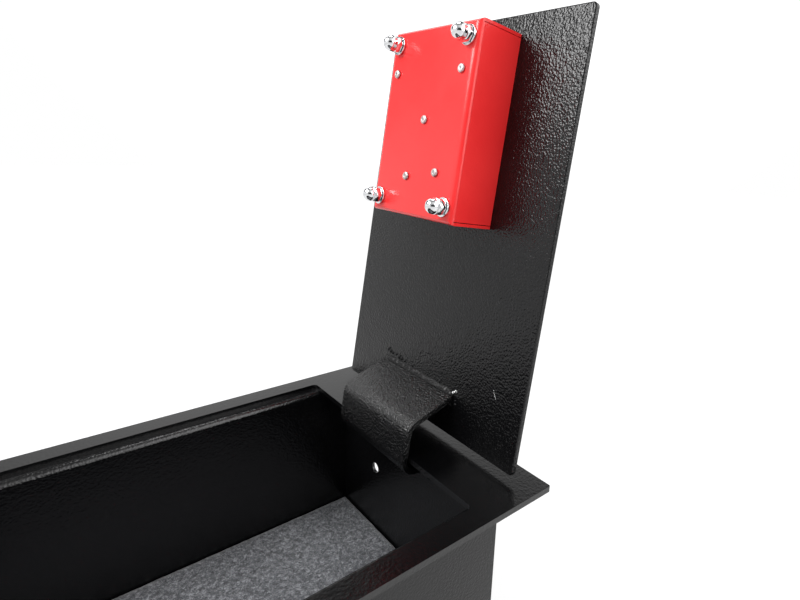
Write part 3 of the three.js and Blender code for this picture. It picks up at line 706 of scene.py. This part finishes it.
def buildWeldBead(name, node):
    low, high = boxCorners(node)
    # The corner that the bead fills runs along Y at the top of the leaning plate
    corner = Vector((high.x, 0, low.z + weldBead["cornerLift"]))
    leg = weldBead["leg"]
    upLid = alongLid * leg
    downPlate = outOfLid * leg * weldBead["plateReach"] - alongLid * leg * weldBead["plateDrop"]
    lumpLayer, grainLayer = weldBead["noiseLayers"]
    mesh = bmesh.new()
    bmesh.ops.create_grid(
        mesh, x_segments=weldBead["steps"], y_segments=weldBead["round"], size=0.5
    )
    for vert in mesh.verts:
        along, around = vert.co.x + 0.5, vert.co.y + 0.5
        y = low.y + along * (high.y - low.y)
        bow = weldBead["rippleBow"] * math.cos(around * math.pi)
        phase = (y / weldBead["ripple"] + bow) * 2 * math.pi
        lumps = noise.noise(
            Vector((y * weldBead["lumpsPerMetre"], around * weldBead["lumpsAround"], lumpLayer))
        )
        grains = noise.noise(
            Vector((y * weldBead["grainsPerMetre"], around * weldBead["grainsAround"], grainLayer))
        )
        uneven = lumps + weldBead["grainShare"] * grains
        lift = weldBead["crown"] + weldBead["rippleLift"] * math.sin(phase)
        lift = (lift + weldBead["uneven"] * uneven) * math.sin(around * math.pi)
        waver = noise.noise(Vector((y * weldBead["reachPerMetre"], 2, 2)))
        reach = 1 + weldBead["reachRange"] * waver
        path = upLid * (1 - around) * reach + downPlate * around
        bulge = (upLid + downPlate) * lift * weldBead["bulge"]
        end = min(along, 1 - along) * (high.y - low.y)
        taper = min(1.0, math.sqrt(max(end, 0) / weldBead["taper"]))
        full = weldBead["endShare"] + (1 - weldBead["endShare"]) * taper
        vert.co = corner + (path + bulge) * full + Vector((0, y, 0))
    back = bmesh.ops.extrude_edge_only(mesh, edges=openEdges(mesh))["geom"]
    for vert in onlyVerts(back):
        root = Vector((corner.x, vert.co.y, corner.z))
        vert.co = root + (vert.co - root) * weldBead["backShare"]
    bmesh.ops.holes_fill(mesh, edges=openEdges(mesh), sides=0)
    addWeldLumps(mesh, weldLumps["painted"])
    newPiece(name, mesh, weldPaint, "lid", [node])


def buildBrightDrops(name):
    mesh = bmesh.new()
    addWeldLumps(mesh, weldLumps["bright"])
    addScrapes(mesh, weldLumps["scrapes"])
    newPiece(name, mesh, bareSpatter, "lid")


buildWeldBead("outerWeldBead", "outer_bracket_weld")
buildBrightDrops("brightWeldDrops")
print("weld bead made")

# Felt mat, cut a little unevenly and lying loosely on the base

feltMat = {
    "columns": 120,
    "rows": 70,
    "rimFrom": 0.4999,  # The grid runs from -0.5 to 0.5
    "edgeWaver": 0.0006,
    "waverPerMetre": 60,
    "swell": 0.0002,
    "swellPerMetre": 11,
    "footLift": 0.00005,
    "noiseLayers": (3, 7),
}


def buildFeltMat(name, node):
    low, high = boxCorners(node)
    centre = (low + high) / 2
    width, depth = high.x - low.x, high.y - low.y
    waver, perMetre = feltMat["edgeWaver"], feltMat["waverPerMetre"]
    swellPerMetre = feltMat["swellPerMetre"]
    endLayer, sideLayer = feltMat["noiseLayers"]
    mesh = bmesh.new()
    bmesh.ops.create_grid(
        mesh, x_segments=feltMat["columns"], y_segments=feltMat["rows"], size=0.5
    )
    for vert in mesh.verts:
        across, along = vert.co.x, vert.co.y
        atEnd, atSide = abs(across) > feltMat["rimFrom"], abs(along) > feltMat["rimFrom"]
        x, y = centre.x + across * width, centre.y + along * depth
        if atEnd:
            cut = noise.noise(Vector((0, y * perMetre, endLayer)))
            x -= math.copysign(waver, across) * (1 + cut)
        if atSide:
            cut = noise.noise(Vector((x * perMetre, 0, sideLayer)))
            y -= math.copysign(waver, along) * (1 + cut)
        slow = noise.noise(Vector((x * swellPerMetre, y * swellPerMetre, 0)))
        vert.co = Vector((x, y, high.z + feltMat["swell"] * (slow - 1)))
    walls = bmesh.ops.extrude_edge_only(mesh, edges=openEdges(mesh))["geom"]
    for vert in onlyVerts(walls):
        vert.co.z = low.z + feltMat["footLift"]
    bmesh.ops.holes_fill(mesh, edges=openEdges(mesh), sides=0)
    piece = newPiece(name, mesh, pressedFelt, "body", [node])


buildFeltMat("feltMat", "felt_mat")
print("felt mat made")

# Floor, light and camera

studio = {
    "floorSize": 6,
    "floorDrop": 0.0005,
    "floorTone": 0.9,
    "floorGlow": 0.7,
    "floorGlowStrength": 1.15,
    "floorGlossStrength": 0.85,
    "worldTone": 1.0,
    "worldStrength": 0.82,
    "roomEdge": (0.16, 0.34),
    "roomSide": (-0.94, 0.34, 0.0),
    "roomSideEdge": (0.0, 0.5),
    "roomTone": 0.6,
    # Dark and bright patches that only gloss sees, the first of them behind the camera
    "patches": [
        {"side": (-0.65, -0.75, -0.10), "edge": (0.76, 0.90), "tone": 0.03},
        {"side": (0.0, 0.0, 1.0), "edge": (0.80, 0.95), "tone": 0.3},
        {"side": (0.406, 0.341, 0.848), "edge": (0.91, 0.94), "tone": 0.12},
        {"side": (-0.383, 0.821, 0.423), "edge": (0.94, 0.98), "tone": 0.3},
        {"side": (0.0, 0.743, 0.669), "edge": (0.92, 0.98), "tone": 1.5},
        {"side": (0.568, 0.676, 0.470), "edge": (0.75, 0.93), "tone": 1.35},
        {"side": (0.606, -0.546, 0.578), "edge": (0.80, 0.95), "tone": 3.0},
    ],
}


def buildFloor():
    mesh = bmesh.new()
    bmesh.ops.create_grid(mesh, x_segments=1, y_segments=1, size=studio["floorSize"])
    data = bpy.data.meshes.new("floor")
    mesh.to_mesh(data)
    mesh.free()
    floor = bpy.data.objects.new("floor", data)
    bpy.context.scene.collection.objects.link(floor)
    material = bpy.data.materials.new("paleFloor")
    material.use_nodes = True
    tree = material.node_tree
    tree.nodes.clear()
    output = tree.nodes.new("ShaderNodeOutputMaterial")
    diffuse = tree.nodes.new("ShaderNodeBsdfDiffuse")
    diffuse.inputs["Color"].default_value = grey(studio["floorTone"])
    glow = tree.nodes.new("ShaderNodeEmission")
    glow.inputs["Color"].default_value = grey(1.0)
    path = tree.nodes.new("ShaderNodeLightPath")
    camera, glossy = path.outputs["Is Camera Ray"], path.outputs["Is Glossy Ray"]
    dim, bright = studio["floorGlossStrength"], studio["floorGlowStrength"]
    tree.links.new(spread(tree, camera, dim, bright, 0, 1), glow.inputs["Strength"])
    seen = mathNode(tree, "MAXIMUM", camera, glossy)
    mix = tree.nodes.new("ShaderNodeMixShader")
    tree.links.new(mathNode(tree, "MULTIPLY", seen, studio["floorGlow"]), mix.inputs["Fac"])
    tree.links.new(diffuse.outputs["BSDF"], mix.inputs[1])
    tree.links.new(glow.outputs["Emission"], mix.inputs[2])
    tree.links.new(mix.outputs["Shader"], output.inputs["Surface"])
    data.materials.append(material)
    floor.location.z = -studio["floorDrop"]


def buildWorld():
    world = bpy.data.worlds.new("studioWorld")
    bpy.context.scene.world = world
    world.use_nodes = True
    tree = world.node_tree
    tree.nodes.clear()
    output = tree.nodes.new("ShaderNodeOutputWorld")
    light = tree.nodes.new("ShaderNodeBackground")
    light.inputs["Color"].default_value = grey(studio["worldTone"])
    light.inputs["Strength"].default_value = studio["worldStrength"]
    white = tree.nodes.new("ShaderNodeBackground")
    white.inputs["Color"].default_value = grey(1.0)
    path = tree.nodes.new("ShaderNodeLightPath")
    camera, glossy = path.outputs["Is Camera Ray"], path.outputs["Is Glossy Ray"]
    # Gloss sees a white room that is dim high on the left, with the patches in it
    heading = tree.nodes.new("ShaderNodeTexCoord").outputs["Generated"]
    high = spread(tree, facing(tree, heading, (0, 0, 1)), 0.0, 1.0, *studio["roomEdge"])
    leftward = facing(tree, heading, studio["roomSide"])
    left = spread(tree, leftward, 0.0, 1.0, *studio["roomSideEdge"])
    highLeft = mathNode(tree, "MULTIPLY", high, left)
    room = spread(tree, highLeft, 1.0, studio["roomTone"], 0, 1)
    for patch in studio["patches"]:
        toward = facing(tree, heading, patch["side"])
        tone = spread(tree, toward, 1.0, patch["tone"], *patch["edge"])
        room = mathNode(tree, "MULTIPLY", room, tone)
    tree.links.new(mathNode(tree, "MAXIMUM", room, camera), white.inputs["Strength"])
    direct = mathNode(tree, "MAXIMUM", camera, glossy)
    direct = mathNode(tree, "MAXIMUM", direct, path.outputs["Is Transmission Ray"])
    mix = tree.nodes.new("ShaderNodeMixShader")
    tree.links.new(direct, mix.inputs["Fac"])
    tree.links.new(light.outputs["Background"], mix.inputs[1])
    tree.links.new(white.outputs["Background"], mix.inputs[2])
    tree.links.new(mix.outputs["Shader"], output.inputs["Surface"])


lamps = {
    "keyLight": {
        "place": (-0.50, 0.25, 0.95),
        "target": (0.2, -0.05, 0.35),
        "size": (0.6, 0.36),
        "power": 9,
    },
    "topLight": {
        "place": (0.25, 0.15, 1.35),
        "target": (0.2, 0.0, 0.2),
        "size": (0.3, 0.3),
        "power": 2.2,
    },
    "fillLight": {
        "place": (0.5, -1.5, 0.9),
        "target": (0.2, -0.05, 0.25),
        "size": (1.2, 1.2),
        "power": 9,
    },
}


def buildLamp(name, look):
    data = bpy.data.lights.new(name, "AREA")
    data.shape = "RECTANGLE"
    data.size, data.size_y = look["size"]
    data.energy = look["power"]
    lamp = bpy.data.objects.new(name, data)
    lamp.location = look["place"]
    lamp.rotation_mode = "QUATERNION"
    heading = Vector(look["target"]) - Vector(look["place"])
    lamp.rotation_quaternion = heading.to_track_quat("-Z", "Y")
    bpy.context.scene.collection.objects.link(lamp)


buildFloor()
buildWorld()
for name, look in lamps.items():
    buildLamp(name, look)

photoCamera = {
    "place": (-0.073176, -0.374270, 0.420512),
    "azimuth": -41.283,
    "elevation": 12.649,
    "roll": 2.747,
    "sensor": 36,
    "lens": 24.146,
    "shift": (-0.06647, -0.05038),
    "clip": (0.01, 50),
}


def buildCamera():
    data = bpy.data.cameras.new("photoCamera")
    data.sensor_width = photoCamera["sensor"]
    data.lens = photoCamera["lens"]
    data.shift_x, data.shift_y = photoCamera["shift"]
    data.clip_start, data.clip_end = photoCamera["clip"]
    camera = bpy.data.objects.new("photoCamera", data)
    turn = (
        Matrix.Rotation(math.radians(photoCamera["azimuth"]), 4, "Z")
        @ Matrix.Rotation(math.radians(90 - photoCamera["elevation"]), 4, "X")
        @ Matrix.Rotation(math.radians(photoCamera["roll"]), 4, "Z")
    )
    camera.matrix_world = Matrix.Translation(photoCamera["place"]) @ turn
    bpy.context.scene.collection.objects.link(camera)
    bpy.context.scene.camera = camera


buildCamera()
bpy.context.scene.view_settings.view_transform = "Standard"
print("studio ready")
